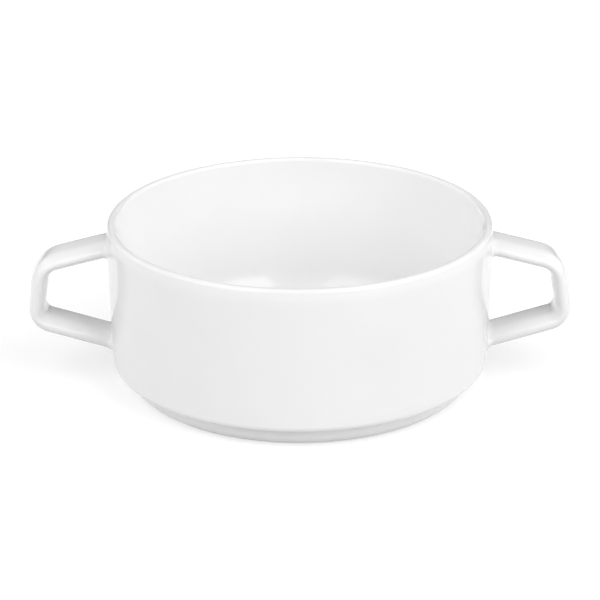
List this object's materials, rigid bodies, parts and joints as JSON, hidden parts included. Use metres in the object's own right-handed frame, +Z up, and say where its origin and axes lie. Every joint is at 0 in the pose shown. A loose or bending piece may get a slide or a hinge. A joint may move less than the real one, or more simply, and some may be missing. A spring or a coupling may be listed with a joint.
{
  "type": "lug soup bowl",
  "caption": "Round straight-sided soup bowl on a low stepped foot, with an angular loop lug on each side, in glossy white porcelain.",
  "frame": {"origin": "on the table, under the centre of the bowl", "axes": "+Z up along the bowl's axis, X through the two lugs, Y from front to back"},
  "size_m": [0.164, 0.116, 0.0506],
  "materials": {
    "glazed_porcelain": "glossy clear glaze over white porcelain; the foot's land is bare",
    "glazed_slip": "the same glaze over luting slip"
  },
  "bodies": {
    "root": {"bowl_body": "glazed_porcelain", "left_lug": "glazed_porcelain", "right_lug": "glazed_porcelain", "left_upper_slip_joint": "glazed_slip", "left_lower_slip_joint": "glazed_slip", "right_upper_slip_joint": "glazed_slip", "right_lower_slip_joint": "glazed_slip"}
  },
  "joints": []
}
